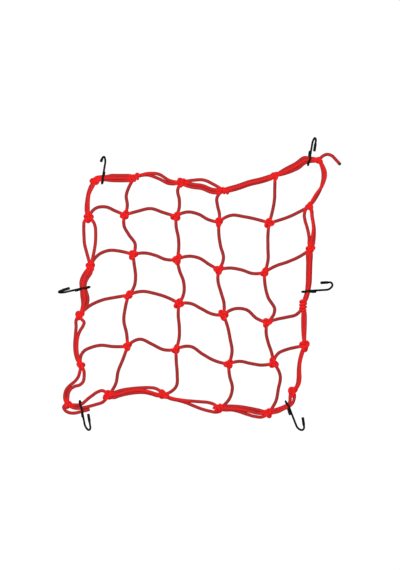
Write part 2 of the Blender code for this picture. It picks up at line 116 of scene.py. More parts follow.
def tube(points, radii, ups, sides, closed=False):
    # a circle carried along the line: its points are centre + radius * (cos a * left + sin a * up)
    along = directions(points, closed)
    left = np.cross(ups, along)
    left /= np.linalg.norm(left, axis=1)[:, None]
    up = np.cross(along, left)
    angle = (np.arange(sides) * 2 * math.pi / sides)[None, :, None]
    across = np.cos(angle) * left[:, None] + np.sin(angle) * up[:, None]
    rings = points[:, None] + across * np.asarray(radii, float)[:, None, None]
    count = len(points)
    around, place = np.arange(sides), np.arange(count if closed else count - 1)
    i, j = (grid.ravel() for grid in np.meshgrid(place, around, indexing="ij"))
    k, n = (j + 1) % sides, (i + 1) % count
    quads = np.column_stack([i * sides + j, i * sides + k, n * sides + k, n * sides + j])
    width = 2 * float(np.max(radii))
    at = distanceAlong(np.vstack([points, points[:1]]) if closed else points) / width
    low, high, share, nextShare = at[i], at[i + 1], j / sides, (j + 1) / sides
    quadUv = np.stack([[low, share], [low, nextShare], [high, nextShare], [high, share]]).transpose(2, 0, 1)
    vertices = rings.reshape(-1, 3)
    if closed:
        return vertices, quads, np.empty((0, 3), int), quadUv, np.empty((0, 3, 2))
    first, last = len(vertices), len(vertices) + 1
    vertices = np.vstack([vertices, points[:1], points[-1:]])
    nextOne = (around + 1) % sides
    startFan = np.column_stack([nextOne, around, np.full(sides, first)])
    endRing = (count - 1) * sides
    endFan = np.column_stack([endRing + around, endRing + nextOne, np.full(sides, last)])
    share = around / sides
    nextShare, middle = share + 1 / sides, share + 0.5 / sides
    atStart, atEnd = np.full(sides, at[0]), np.full(sides, at[-1])
    startUv = np.stack([[atStart, nextShare], [atStart, share], [atStart - capReach, middle]])
    endUv = np.stack([[atEnd, share], [atEnd, nextShare], [atEnd + capReach, middle]])
    fanUv = np.concatenate([startUv.transpose(2, 0, 1), endUv.transpose(2, 0, 1)])
    return vertices, quads, np.vstack([startFan, endFan]), quadUv, fanUv


def addToScene(name, data):
    added = bpy.data.objects.new(name, data)
    bpy.context.scene.collection.objects.link(added)
    return added


def pieceFrom(name, tubes, material, paintedShadeAndSealValues=None):
    # one mesh from all the tubes, in metres; its UV map holds the distance along, in widths, and that around
    offset, vertices, quads, fans, quadUvs, fanUvs = 0, [], [], [], [], []
    for points, four, three, fourUv, threeUv in tubes:
        vertices.append(points)
        quads.append(four + offset)
        fans.append(three + offset)
        quadUvs.append(fourUv)
        fanUvs.append(threeUv)
        offset += len(points)
    mesh = bpy.data.meshes.new(name)
    faces = np.vstack(quads).tolist() + np.vstack(fans).tolist()
    mesh.from_pydata((np.vstack(vertices) * millimetre).tolist(), [], faces)
    layer = mesh.uv_layers.new(name="alongAndAround")
    uv = np.concatenate([np.concatenate(quadUvs).reshape(-1, 2), np.concatenate(fanUvs).reshape(-1, 2)])
    layer.data.foreach_set("uv", uv.ravel())
    mesh.polygons.foreach_set("use_smooth", np.ones(len(faces), bool))
    # painted shade: a per-vertex value that darkens the lone cords for their shaded sides; its high values mark
    # a charred end
    if paintedShadeAndSealValues is not None:
        paintedShadeAndSeal = mesh.attributes.new("paintedShadeAndSeal", "FLOAT", "POINT")
        paintedShadeAndSeal.data.foreach_set("value", np.concatenate(paintedShadeAndSealValues))
    mesh.materials.append(material)
    mesh.update()
    return addToScene(name, mesh)


# ---- shared shader groups ----


def newGroup(name, inputs, outputs):
    group = bpy.data.node_groups.new(name, "ShaderNodeTree")
    for label, kind, value in inputs:
        socket = group.interface.new_socket(label, in_out="INPUT", socket_type=kind)
        if value is not None:
            socket.default_value = value
    for label, kind in outputs:
        group.interface.new_socket(label, in_out="OUTPUT", socket_type=kind)
    return group, group.nodes.new("NodeGroupInput"), group.nodes.new("NodeGroupOutput")


def mathNode(tree, operation, *values):
    node = tree.nodes.new("ShaderNodeMath")
    node.operation = operation
    for socket, value in zip(node.inputs, values):
        if isinstance(value, (int, float)):
            socket.default_value = value
        else:
            tree.links.new(value, socket)
    return node.outputs[0]


braidShape = {
    "crownPower": 0.6,  # under 1 makes the yarn bundles flatter on top
    "lowestCrown": 0.5,  # where a bundle passes under, against where it passes over
    "yarnHeight": 0.06,  # of the fine lines along a bundle, against the bundle's own height
    "creviceBelow": 0.42,  # the height under which the painted shade between the bundles begins
    "creviceGain": 2.4,
}


def braidGroup():
    # two families of yarn bundles wind round the cord in opposite directions and pass over and under in turn
    group, given, result = newGroup(
        "braidedSheath",
        [
            ("Along And Around", "NodeSocketVector", None),
            ("Bundles", "NodeSocketFloat", 8.0),
            ("Turns Per Width", "NodeSocketFloat", 4.0),
            ("Yarn Lines", "NodeSocketFloat", 4.0),
        ],
        [("Height", "NodeSocketFloat"), ("CreviceShade", "NodeSocketFloat")],
    )

    def calculated(operation, *values):
        return mathNode(group, operation, *values)

    split = group.nodes.new("ShaderNodeSeparateXYZ")
    group.links.new(given.outputs["Along And Around"], split.inputs[0])
    around = calculated("MULTIPLY", split.outputs[1], given.outputs["Bundles"])
    along = calculated("MULTIPLY", split.outputs[0], given.outputs["Turns Per Width"])
    right, left = calculated("ADD", around, along), calculated("SUBTRACT", around, along)
    cells = calculated("ADD", calculated("FLOOR", right), calculated("FLOOR", left))
    # 0 where the right-hand bundle is on top, 1 where the left-hand one is
    over = calculated("FLOORED_MODULO", cells, 2.0)

    def crown(place, crossing):
        # rounded across the bundle, highest where it passes over, with fine yarn lines along it
        inside = calculated("FRACT", place)
        acrossIt = calculated("SINE", calculated("MULTIPLY", inside, math.pi))
        alongIt = calculated("SINE", calculated("MULTIPLY", calculated("FRACT", crossing), math.pi))
        rounded = calculated("POWER", acrossIt, braidShape["crownPower"])
        lowest = braidShape["lowestCrown"]
        passing = calculated("ADD", calculated("MULTIPLY", alongIt, 1 - lowest), lowest)
        yarns = calculated("MULTIPLY", inside, given.outputs["Yarn Lines"])
        lines = calculated("COSINE", calculated("MULTIPLY", yarns, 2 * math.pi))
        bowed = calculated("MULTIPLY", rounded, passing)
        return calculated("SUBTRACT", bowed, calculated("MULTIPLY", lines, braidShape["yarnHeight"]))

    rightUp, leftUp = crown(right, left), crown(left, right)
    share = calculated("SUBTRACT", leftUp, rightUp)
    height = calculated("ADD", rightUp, calculated("MULTIPLY", share, over))
    group.links.new(height, result.inputs["Height"])
    # painted shade: darker in the hollows between the bundles, where light falls less
    deep = calculated("SUBTRACT", braidShape["creviceBelow"], height)
    dark = calculated("MULTIPLY", deep, braidShape["creviceGain"])
    creviceShadeMask = calculated("MINIMUM", calculated("MAXIMUM", dark, 0.0), 1.0)
    group.links.new(creviceShadeMask, result.inputs["CreviceShade"])
    return group


def unevenGroup():
    # soft patches and fine grain in one value from 0 to 1, on the piece's own place
    group, given, result = newGroup(
        "patchesAndGrain",
        [
            ("Place", "NodeSocketVector", None),
            ("Patch Scale", "NodeSocketFloat", 30.0),
            ("Grain Scale", "NodeSocketFloat", 900.0),
            ("Grain Share", "NodeSocketFloat", 0.4),
        ],
        [("Patches", "NodeSocketFloat"), ("Grain", "NodeSocketFloat"), ("Both", "NodeSocketFloat")],
    )
    noises = []
    for scale, detail in (("Patch Scale", 2.0), ("Grain Scale", 3.0)):
        noise = group.nodes.new("ShaderNodeTexNoise")
        noise.inputs["Detail"].default_value = detail
        group.links.new(given.outputs["Place"], noise.inputs["Vector"])
        group.links.new(given.outputs[scale], noise.inputs["Scale"])
        noises.append(noise.outputs["Fac"])
    patches, grain = noises
    group.links.new(patches, result.inputs["Patches"])
    group.links.new(grain, result.inputs["Grain"])
    difference = mathNode(group, "SUBTRACT", grain, patches)
    part = mathNode(group, "MULTIPLY", difference, given.outputs["Grain Share"])
    group.links.new(mathNode(group, "ADD", patches, part), result.inputs["Both"])
    return group


def placed(tree, group, values):
    node = tree.nodes.new("ShaderNodeGroup")
    node.node_tree = group
    for label, value in values.items():
        node.inputs[label].default_value = value
    return node


def placedPatches(tree, uneven, values):
    place = tree.nodes.new("ShaderNodeTexCoord")
    patches = placed(tree, uneven, values)
    tree.links.new(place.outputs["Object"], patches.inputs["Place"])
    return patches.outputs


def mixColours(tree, share, first, second):
    mix = tree.nodes.new("ShaderNodeMix")
    mix.data_type = "RGBA"
    tree.links.new(share, mix.inputs["Factor"])
    for socket, colour in zip((mix.inputs[6], mix.inputs[7]), (first, second)):
        if isinstance(colour, tuple):
            socket.default_value = (*colour, 1.0)
        else:
            tree.links.new(colour, socket)
    return mix.outputs[2]


def mapRange(tree, value, given=(0.0, 1.0), result=(0.0, 1.0)):
    node = tree.nodes.new("ShaderNodeMapRange")
    node.inputs["From Min"].default_value, node.inputs["From Max"].default_value = given
    node.inputs["To Min"].default_value, node.inputs["To Max"].default_value = result
    tree.links.new(value, node.inputs["Value"])
    return node.outputs["Result"]


def bumpFrom(tree, height, distance, strength, before=None):
    bump = tree.nodes.new("ShaderNodeBump")
    bump.inputs["Distance"].default_value = distance
    bump.inputs["Strength"].default_value = strength
    tree.links.new(height, bump.inputs["Height"])
    if before is not None:
        tree.links.new(before, bump.inputs["Normal"])
    return bump.outputs["Normal"]


def newMaterial(name):
    material = bpy.data.materials.new(name)
    material.use_nodes = True
    return material, material.node_tree, material.node_tree.nodes["Principled BSDF"]


cordLook = {
    "red": (0.56, 0.006, 0.006),
    "fadedRed": (0.62, 0.014, 0.014),
    "fadedShare": 0.9,
    "creviceShadeRed": (0.20, 0.002, 0.003),  # painted shade between the yarn bundles
    "creviceShadeShare": 0.75,
    "paintedShadeRed": (0.26, 0.016, 0.016),  # painted shade: the lone cords drawn darker, standing for their shaded sides
    "charred": (0.02, 0.012, 0.012),  # the heat-sealed end
    "charredAbove": 1.5,  # the value of the painted-shade attribute above which the cord is charred
    "roughness": (0.65, 0.87),
    "shine": 0.08,
    "sheen": 0.04,
    "sheenRoughness": 0.4,
    "sheenTint": (1.0, 0.35, 0.32),
    "braid": {"Bundles": 8.0, "Turns Per Width": 3.2, "Yarn Lines": 4.0},
    "braidHeight": 0.00035,
    "braidStrength": 0.8,
    "patches": {"Patch Scale": 26.0, "Grain Scale": 1600.0, "Grain Share": 0.45},
    "fuzzHeight": 0.0001,
    "fuzzStrength": 0.35,
}


def braidedCordMaterial(braid, uneven):
    look = cordLook
    material, tree, shader = newMaterial("redBraidedElasticCord")
    uv = tree.nodes.new("ShaderNodeUVMap")
    uv.uv_map = "alongAndAround"
    sheath = placed(tree, braid, look["braid"])
    tree.links.new(uv.outputs["UV"], sheath.inputs["Along And Around"])
    patches = placedPatches(tree, uneven, look["patches"])
    worn = mapRange(tree, patches["Both"], result=(0.0, look["fadedShare"]))
    fresh = mixColours(tree, worn, look["red"], look["fadedRed"])
    # painted shade: the per-vertex value mixes in a darker red on the lone cords, and past a limit the charred
    # colour
    attribute = tree.nodes.new("ShaderNodeAttribute")
    attribute.attribute_name = "paintedShadeAndSeal"
    paintedShadeAndSeal = attribute.outputs["Fac"]
    paintedShading = mixColours(tree, paintedShadeAndSeal, fresh, look["paintedShadeRed"])
    charred = mathNode(tree, "GREATER_THAN", paintedShadeAndSeal, look["charredAbove"])
    sealed = mixColours(tree, charred, paintedShading, look["charred"])
    # painted shade: a darker red mixed in where the braid sinks between the bundles
    deep = mathNode(tree, "MULTIPLY", sheath.outputs["CreviceShade"], look["creviceShadeShare"])
    tree.links.new(mixColours(tree, deep, sealed, look["creviceShadeRed"]), shader.inputs["Base Color"])
    tree.links.new(mapRange(tree, patches["Grain"], result=look["roughness"]), shader.inputs["Roughness"])
    shader.inputs["Sheen Weight"].default_value = look["sheen"]
    shader.inputs["Sheen Roughness"].default_value = look["sheenRoughness"]
    shader.inputs["Sheen Tint"].default_value = (*look["sheenTint"], 1.0)
    shader.inputs["Specular IOR Level"].default_value = look["shine"]
    weave = bumpFrom(tree, sheath.outputs["Height"], look["braidHeight"], look["braidStrength"])
    fuzz = bumpFrom(tree, patches["Grain"], look["fuzzHeight"], look["fuzzStrength"], weave)
    tree.links.new(fuzz, shader.inputs["Normal"])
    return material


hookLook = {
    "black": (0.0015, 0.0015, 0.0017),
    "scuffed": (0.007, 0.007, 0.0075),
    "scuffs": (0.58, 0.75),  # values of the patches over which the coat turns scuffed
    "roughness": (0.38, 0.62),
    "shine": 0.06,
    "patches": {"Patch Scale": 220.0, "Grain Scale": 2400.0, "Grain Share": 0.5},
    "dimpleHeight": 0.00012,
    "dimpleStrength": 0.5,
}


def coatedWireMaterial(uneven):
    look = hookLook
    material, tree, shader = newMaterial("blackCoatedHookWire")
    patches = placedPatches(tree, uneven, look["patches"])
    scuffs = mapRange(tree, patches["Both"], given=look["scuffs"])
    tree.links.new(mixColours(tree, scuffs, look["black"], look["scuffed"]), shader.inputs["Base Color"])
    tree.links.new(mapRange(tree, patches["Patches"], result=look["roughness"]), shader.inputs["Roughness"])
    shader.inputs["Specular IOR Level"].default_value = look["shine"]
    dimples = bumpFrom(tree, patches["Both"], look["dimpleHeight"], look["dimpleStrength"])
    tree.links.new(dimples, shader.inputs["Normal"])
    return material


# ---- the net ----

netShape = {
    "cordRadius": 2.8,  # the round cord
    "rowHeight": 2.7,  # middle of a cord that lies on the surface
    "knotMiddle": 5.55,  # middle of a knot above the surface
    "knotEntry": 4.9,  # height at which cords go into it
    "knotReach": 24.0,  # distance from a knot over which a cord comes down
    "gatherReach": 12.0,  # distance from a knot over which side-by-side cords close up
    "gatherShare": 0.72,  # of their distance that is left there
    "eyeLift": 4.0,  # rise of the cords over a hook's eye
    "eyeLiftReach": 22.0,
    "gripBeside": (2.0, 16.0),  # distances beside a hook over which the eye's grip on the cords fades
    "gripAlong": (12.0, 20.0),  # and distances along it
    "meshPaintedShade": 1.0,  # painted shade on the cords between the knots of the meshes, for their shaded sides
    "borderPaintedShade": 0.78,
    "pileShadeCut": 0.65,  # how much less painted shade there is where a cord lies on others
    "sideShadeCut": 0.4,  # and in a pair of cords side by side
    "bundleReach": (4.3, 6.0),  # distances from another cord over which it stops counting as on it or by it
    "endPaintedShade": 0.8,
    "charredLevel": 2.0,  # tells the material that the sheath is charred
    "charredEnd": 3.5,  # of the loose end
    "knotShadeReach": (5.0, 14.0),  # distances from a knot's middle over which the painted shade comes in
    "tipLength": 1.6,  # of a cut end's rounding
    "tipRadius": 1.75,
    "tipSection": 0.05,  # the least of its section that is left
    "sides": 14,
    "step": 2.2,
    "endStep": 1.0,
    "spanPoints": 81,
    "strandPoints": 121,
    "endPoints": 81,
}

# Knots, seen from above: place, turn of the long axis, length, width
knots = {
    "topLeft": Knot(-174, 174, 25, 19, 14),
    "top1": Knot(-109, 178, 30, 22, 12),
    "top2": Knot(-31, 171, 70, 17, 15),
    "top3": Knot(39, 157, -4, 23, 12),
    "top4": Knot(125, 182, -60, 14, 13),
    "topRight": Knot(198, 207, -30, 13, 11),
    "right1": Knot(182, 131, 60, 15, 13),
    "right2": Knot(184, 60, 5, 16, 12),
    "right3": Knot(171.5, -34, 88, 22, 13),
    "right4": Knot(174, -101, 90, 20, 17),
    "bottomRight": Knot(154, -177, 60, 21, 15),
    "bottom4": Knot(113, -213, -50, 17, 15),
    "bottom3": Knot(31, -205, 15, 20, 14),
    "bottom2": Knot(-61, -182.5, -35, 20, 15),
    "bottom1": Knot(-153.5, -184, 60, 18, 16),
    "bottomLeft": Knot(-220, -198.5, 80, 14.5, 12.5),
    "left4": Knot(-198, -134, -40, 15, 13),
    "left3": Knot(-200.5, -50, 50, 18, 14),
    "left2": Knot(-182, 31, -60, 17, 15),
    "left1": Knot(-185.5, 111.5, 20, 17, 16),
    "inner11": Knot(-125, 116.5, 50, 17, 14),
    "inner12": Knot(-40, 114, 30, 18, 15),
    "inner13": Knot(31.5, 104.5, 85, 17, 12.5),
    "inner14": Knot(115, 103, 35, 18, 15),
    "inner21": Knot(-111.5, 50.3, 40, 18, 15),
    "inner22": Knot(-38, 42.5, 65, 20, 15),
    "inner23": Knot(31, 25.3, 30, 18, 16),
    "inner24": Knot(107.3, 21, 60, 16, 13),
    "inner31": Knot(-119, -17, 50, 16, 12.5),
    "inner32": Knot(-35, -31, 40, 19, 15),
    "inner33": Knot(39, -50, -55, 20, 15),
    "inner34": Knot(111.5, -62.5, 40, 18, 15),
    "inner41": Knot(-120.7, -102, 50, 16, 14),
    "inner42": Knot(-40, -107, 70, 17, 12.5),
    "inner43": Knot(47.5, -131.5, 35, 17, 15),
    "inner44": Knot(122, -130, -60, 19, 16),
}

# Lanes: for each cord of a span, its offset to the left of the way it runs, and its lift
lanes = {
    "one": ((0, 0),),
    "raised": ((0, 3),),
    "two": ((-2.6, 0), (2.6, 0)),
    "three": ((-4.4, 0), (0, 3), (4.4, 0)),
    "pile": ((-2.6, 0), (2.6, 0), (0, 4)),
}

# Spans: two knots, how far the cord bows to the left of the straight line at its quarter, half and three
# quarters, and its lanes. Rows run left to right, columns top to bottom.
spans = (
    # rows
    Span("left1", "inner11", 16, 16, 8, "one"),
    Span("inner11", "inner12", 7, 12, 6, "one"),
    Span("inner12", "inner13", 10, 9, 2, "one"),
    Span("inner13", "inner14", 12, 10, 6, "one"),
    Span("inner14", "right1", -2, -3, -2, "one"),
    Span("left2", "inner21", 15.5, 17.5, 11, "one"),
    Span("inner21", "inner22", 5, 3, -2, "one"),
    Span("inner22", "inner23", 10, 11, 5, "one"),
    Span("inner23", "inner24", 4, 2, -3, "one"),
    Span("inner24", "right2", 1, -2, -3, "one"),
    Span("left3", "inner31", 8, 9, 5, "one"),
    Span("inner31", "inner32", 10, 10, 7, "one"),
    Span("inner32", "inner33", 5, 1, -3, "one"),
    Span("inner33", "inner34", 14, 15, 4, "one"),
    Span("inner34", "right3", -2, -6, -9, "one"),
    Span("inner41", "inner42", 13, 6, -2, "one"),
    Span("inner42", "inner43", 11, 4, -1, "one"),
    Span("inner43", "inner44", 4, 0, -3, "one"),
    Span("inner44", "right4", 10, 9, 5, "one"),
    # columns
    Span("top1", "inner11", -5, -6, 0, "one"),
    Span("inner11", "inner21", -5, 0, 7, "one"),
    Span("inner21", "inner31", 4, 8, 8, "one"),
    Span("inner31", "inner41", -5, -7, -2, "one"),
    Span("inner41", "bottom1", 1, 1, 5, "one"),
    Span("top2", "inner12", -4, 1, 3, "one"),
    Span("inner12", "inner22", 0, 3, 3, "one"),
    Span("inner22", "inner32", 3, 9, 9, "one"),
    Span("inner32", "inner42", 0, 3, 4, "one"),
    Span("inner42", "bottom2", 6, 13, 17, "one"),
    Span("top3", "inner13", -9, -6, -1, "one"),
    Span("inner13", "inner23", 0, 3, 8, "one"),
    Span("inner23", "inner33", -3, 0, 3, "one"),
    Span("inner33", "inner43", 5, 7, 8, "one"),
    Span("inner43", "bottom3", 6, 15, 14, "one"),
    Span("top4", "inner14", 2, 4, 3, "one"),
    Span("inner14", "inner24", 0, 2, 4, "one"),
    Span("inner24", "inner34", 0, 4, 14, "one"),
    Span("inner34", "inner44", -4, -3, 0, "one"),
    Span("inner44", "bottom4", 14, 13, 11, "one"),
    # border, top
    Span("topLeft", "top1", 3, 2, 1, "three"),
    Span("top1", "top2", 9, 10, 1, "raised"),
    Span("top1", "top2", 7, 3, -4, "one"),
    Span("top2", "top3", 7, 11, 7, "one"),
    Span("top2", "top3", -2, -1, -4, "two"),
    Span("top3", "top4", -1, 0, -1, "pile"),
    Span("top4", "topRight", 5, 8, 13, "one"),
    Span("top4", "topRight", 1, 4, 7, "raised"),
    Span("top4", "topRight", -2, -1, 2, "one"),
    # border, right
    Span("topRight", "right1", 15, 14, 6, "raised"),
    Span("topRight", "right1", 11, 13, 9, "one"),
)

# Strands that wander more: two knots, lift, and the places that they pass between them
strands = (
    # right
    Strand("right1", "right2", 0, (
        (175.7, 125), (173.7, 117), (175, 107), (178, 97), (180.4, 87), (181.8, 77), (181.5, 68),
    )),
    Strand("right1", "right2", 0, (
        (185.8, 125), (186.8, 115), (188.5, 105), (190, 95), (190.3, 85), (189.6, 75), (188.3, 67),
    )),
    Strand("right1", "right2", 3, (
        (185, 124), (186.3, 113), (188, 103), (188.7, 93), (187.3, 83), (185.5, 73),
    )),
    Strand("right2", "right3", 0, (
        (179.5, 52), (179.4, 38), (179, 20), (178.4, 2), (176.6, -12), (173.3, -24),
    )),
    Strand("right2", "right3", 0, (
        (185.2, 52), (184.6, 38), (184, 20), (182.9, 2), (180.4, -12), (176.6, -24),
    )),
    Strand("right2", "right3", 3, ((182.5, 30), (182, 15), (181, 0), (178.5, -13))),
    Strand("right3", "right4", 0, ((171.3, -48), (171, -60), (171.2, -72), (172, -86))),
    Strand("right3", "right4", 0, ((175, -48), (175.3, -60), (175, -72), (174.3, -86))),
    Strand("right4", "bottomRight", 0, (
        (169.5, -111), (167, -120), (165, -130), (163.8, -142), (163.5, -154), (162, -165),
    )),
    Strand("right4", "bottomRight", 3, (
        (171, -112), (168.5, -120), (166.3, -130), (165.8, -142), (166.2, -154), (164.5, -165),
    )),
    Strand("bottomRight", "bottom4", 0, (
        (149.3, -184), (149, -190), (147.3, -196), (140, -201.5), (130, -206), (121, -209),
    )),
    Strand("bottomRight", "bottom4", 0, (
        (157.3, -184), (156.3, -190), (153.3, -197), (146.5, -203), (139, -206.3), (129, -211),
    )),
    # bottom
    Strand("bottom1", "bottom2", 0, (
        (-142, -178.7), (-130, -175), (-115, -172.6), (-100, -171.3), (-85, -170.9), (-74, -172.2),
    )),
    Strand("bottom1", "bottom2", 0, (
        (-143, -187.5), (-135, -184.8), (-120, -181.2), (-105, -179.2), (-92, -179.2), (-80, -181.8),
        (-70, -184.5),
    )),
    Strand("bottom1", "bottom2", 3, (
        (-140, -182.5), (-120, -177), (-100, -174.8), (-85, -177.5), (-72, -181.5),
    )),
    Strand("bottom2", "bottom3", 3, (
        (-50, -187.5), (-30, -191.5), (-12, -193.3), (2, -194.3), (15, -195.7), (24, -199),
    )),
    Strand("bottom2", "bottom3", 0, (
        (-50, -189), (-35, -192.5), (-22, -196.5), (-10, -201.5), (3, -206.5), (16, -210),
        (28, -211.6), (35, -209),
    )),
    Strand("bottom3", "bottom4", 0, ((42, -202), (55, -201.7), (70, -203), (85, -205.6), (98, -208.3))),
    Strand("bottom3", "bottom4", 3, (
        (42, -205.5), (55, -205.5), (70, -207.5), (85, -210.7), (98, -213.5),
    )),
    Strand("bottom3", "bottom4", 0, (
        (41, -208), (52, -208), (64, -210.5), (78, -215.2), (92, -219), (104, -219.5),
    )),
    # left
    Strand("topLeft", "left1", 0, (
        (-180.5, 167), (-184, 160), (-186.8, 150), (-188.5, 140), (-189.5, 130), (-189, 121),
    )),
    Strand("topLeft", "left1", 3, (
        (-177, 166), (-181.3, 158.5), (-184.8, 150), (-185.8, 140), (-186, 130), (-186, 121),
    )),
    Strand("left1", "left2", 0, ((-192.5, 106), (-193.5, 97), (-193.2, 82), (-192.2, 68), (-189.2, 56))),
    Strand("left1", "left2", 0, ((-178, 106), (-174.7, 98), (-173.7, 84), (-174.2, 70), (-176.6, 55))),
    Strand("left2", "left3", 0, (
        (-191.8, 20), (-196, 12), (-198.3, 3), (-198.3, -5), (-197.2, -15), (-195.6, -25),
        (-195.3, -33),
    )),
    Strand("left2", "left3", 0, (
        (-181.5, 20), (-186, 13), (-189.5, 5), (-190.3, -3), (-188.3, -12), (-186.5, -22),
        (-187.3, -30), (-190.5, -38),
    )),
    Strand("left2", "left3", 3, (
        (-186.3, 21), (-190.8, 13), (-193.6, 4), (-194, -5), (-192.6, -15), (-191.5, -23),
        (-193.3, -33),
    )),
    Strand("left3", "left4", 0, (
        (-206, -58), (-206.3, -70), (-207.6, -85), (-208.6, -100), (-207.8, -112), (-204.5, -124),
    )),
    Strand("left3", "left4", 3, (
        (-197, -57), (-192.8, -62), (-194.8, -68.5), (-199.5, -76), (-203.2, -86), (-204.7, -98),
        (-204.5, -110),
    )),
    Strand("left4", "inner41", 0, (
        (-199.3, -125), (-197.5, -116), (-192, -109), (-183, -104.6), (-166.8, -100.5),
        (-143.3, -102.6),
    )),
    Strand("left4", "bottomLeft", 0, (
        (-200, -144), (-203, -153.5), (-209, -161), (-217, -167.5), (-223, -175), (-225.3, -184),
        (-224.5, -192),
    )),
    Strand("left4", "bottomLeft", 2, (
        (-193.5, -142), (-192.8, -152), (-194.3, -160.5), (-200, -166.3), (-208.5, -168.7),
        (-215, -173), (-219, -180), (-220, -188),
    )),
    Strand("bottomLeft", "bottom1", 0, (
        (-207, -199), (-199, -197.8), (-190, -191.5), (-180, -184.5), (-171, -178.3),
        (-162, -175.8),
    )),
    Strand("bottomLeft", "bottom1", 0, (
        (-214, -203), (-206, -205), (-195, -204), (-184, -201.7), (-173, -198.8), (-162, -195),
    )),
)

# The two ends of the cord: from a knot through these places on the surface
looseEnd = ("topRight", ((205, 215), (212, 217.5), (219, 215.5), (226.3, 208.5), (234, 199.8)))
cutEnd = ("bottomLeft", (
    (-227, -203), (-224.5, -208.7), (-218, -212.3), (-207, -213), (-194, -210.6), (-183, -206.6),
))

# Hooks: crossing of the border, heading, side to which the hook turns (1 left, -1 right), roll of its plane
# from lying flat, flare of its tip, reach to the end of the bend, tip's length, half the eye's length, height
# over the cords, share of their spread that the eye leaves them, and the cut end's place along and beside the
# shank
hooks = {
    "hook_top_left": Hook(-161.4, 177.5, 80.5, 1, 55, 22, 35.8, 5.5, 9.0, 15, 0.55, 10, 0.3),
    "hook_top_right": Hook(181.8, 208, 80.5, -1, 62, 2, 38, 16.5, 9.2, 15, 0.6, 14, 1.3),
    "hook_left": Hook(-193.5, -5, 193, -1, 70, 10, 41, 15, 10.2, 15, 0.8, 14, 1.0),
    "hook_right": Hook(179.5, -9.7, 3, 1, 0, 0, 41.5, 16, 9.8, 14.6, 0.9, 12.5, 2.0),
    "hook_bottom_left": Hook(-196.7, -204.5, -78.8, 1, 51, 3, 38, 21.5, 12.2, 12.6, 0.85, 14.5, 1.4),
    "hook_bottom_right": Hook(147.2, -201, -68.5, 1, 20, 14, 46.5, 15.5, 8.9, 12.6, 0.75, 14.5, 2.8),
}


def eyeLift(plan):
    share = np.zeros(len(plan))
    for hook in hooks.values():
        away = np.linalg.norm(plan - (hook.x, hook.y), axis=1)
        share = np.maximum(share, easedRamp(away, hook.eye, hook.eye + netShape["eyeLiftReach"]))
    return share * netShape["eyeLift"]


def gripped(plan):
    # the border's cords close up towards the middle of each eye
    for hook in hooks.values():
        heading = math.radians(hook.heading)
        out = np.array((math.cos(heading), math.sin(heading)))
        aside = np.array((-math.sin(heading), math.cos(heading)))
        away = plan - (hook.x, hook.y)
        along, beside = away @ out, np.abs(away @ aside)
        near = easedRamp(beside, *netShape["gripBeside"]) * easedRamp(np.abs(along), *netShape["gripAlong"])
        plan = plan - ((1 - hook.grip) * near * along)[:, None] * out
    return plan


def heightsAlong(plan, lift, tiedEnds):
    # up at its knots, down on the surface between, and up again over a hook's eye
    low, entry = netShape["rowHeight"], netShape["knotEntry"]
    fromKnot = fromEnds(plan) if tiedEnds == 2 else distanceAlong(plan)
    near = easedRamp(fromKnot, 0.0, netShape["knotReach"])
    lying = low + lift * (1 - near) + eyeLift(plan)
    return np.maximum(lying, low + near * (entry - low + lift / 2))


def spanLines(span):
    start, end = knots[span.start], knots[span.end]
    a, b = np.array((start.x, start.y), float), np.array((end.x, end.y), float)
    along = (b - a) / np.linalg.norm(b - a)
    left = np.array((-along[1], along[0]))
    bows = (0, span.quarter, span.half, span.threeQuarters, 0)
    plan = [a + (b - a) * k / 4 + left * bow for k, bow in enumerate(bows)]
    fine = curveThrough(plan, netShape["spanPoints"])
    near = easedRamp(fromEnds(fine), 0.0, netShape["gatherReach"])
    for offset, lift in lanes[span.lanes]:
        aside = offset * (1 - (1 - netShape["gatherShare"]) * near)
        lane = gripped(fine + aside[:, None] * directions(fine)[:, ::-1] * (-1, 1))
        yield np.column_stack([lane, heightsAlong(lane, lift, tiedEnds=2)]), lift


def strandLine(strand):
    start, end = knots[strand.start], knots[strand.end]
    through = [(start.x, start.y), *strand.places, (end.x, end.y)]
    plan = gripped(curveThrough(through, netShape["strandPoints"]))
    return np.column_stack([plan, heightsAlong(plan, strand.lift, tiedEnds=2)])


def endLine(end):
    name, places = end
    knot = knots[name]
    plan = gripped(curveThrough([(knot.x, knot.y), *places], netShape["endPoints"]))
    return np.column_stack([plan, heightsAlong(plan, 0, tiedEnds=1)])


def tubeWithShadeAndSeal(points, radii, shadeAndSealLevel):
    # a cord's tube, and its painted shade and charred mark at each vertex: at the rings, then at the ends'
    # middles
    sides = netShape["sides"]
    values = np.concatenate([np.repeat(shadeAndSealLevel, sides), shadeAndSealLevel[:1], shadeAndSealLevel[-1:]])
    return tube(points, radii, levelUps(points), sides), values


def cordTube(line, shadeAndSealLevel, others, shadeCut):
    # less painted shade beside the knots, and on other cords or by them
    points = evenly(line, netShape["step"])
    paintedShading = shadeAndSealLevel * (1 - easedRamp(fromEnds(points), *netShape["knotShadeReach"]))
    if others:
        away = np.linalg.norm(points[:, None, :2] - np.vstack(others)[:, :2], axis=2).min(axis=1)
        paintedShading = paintedShading * (1 - shadeCut * easedRamp(away, *netShape["bundleReach"]))
    return tubeWithShadeAndSeal(points, np.full(len(points), netShape["cordRadius"]), paintedShading)


def endTube(line, charred):
    # the end draws in to a rounded, heat-sealed tip, dark over the charred length
    points = evenly(line, netShape["endStep"])
    left = distanceLeft(points)
    intoTip = np.maximum(netShape["tipLength"] - left, 0.0) / netShape["tipRadius"]
    radii = netShape["cordRadius"] * np.sqrt(np.clip(1 - intoTip**2, netShape["tipSection"], 1.0))
    # painted shade on the end's cord, and the charred mark over its charred length
    shadeAndSealLevel = np.where(left < charred, netShape["charredLevel"], netShape["endPaintedShade"])
    return tubeWithShadeAndSeal(points, radii, shadeAndSealLevel)


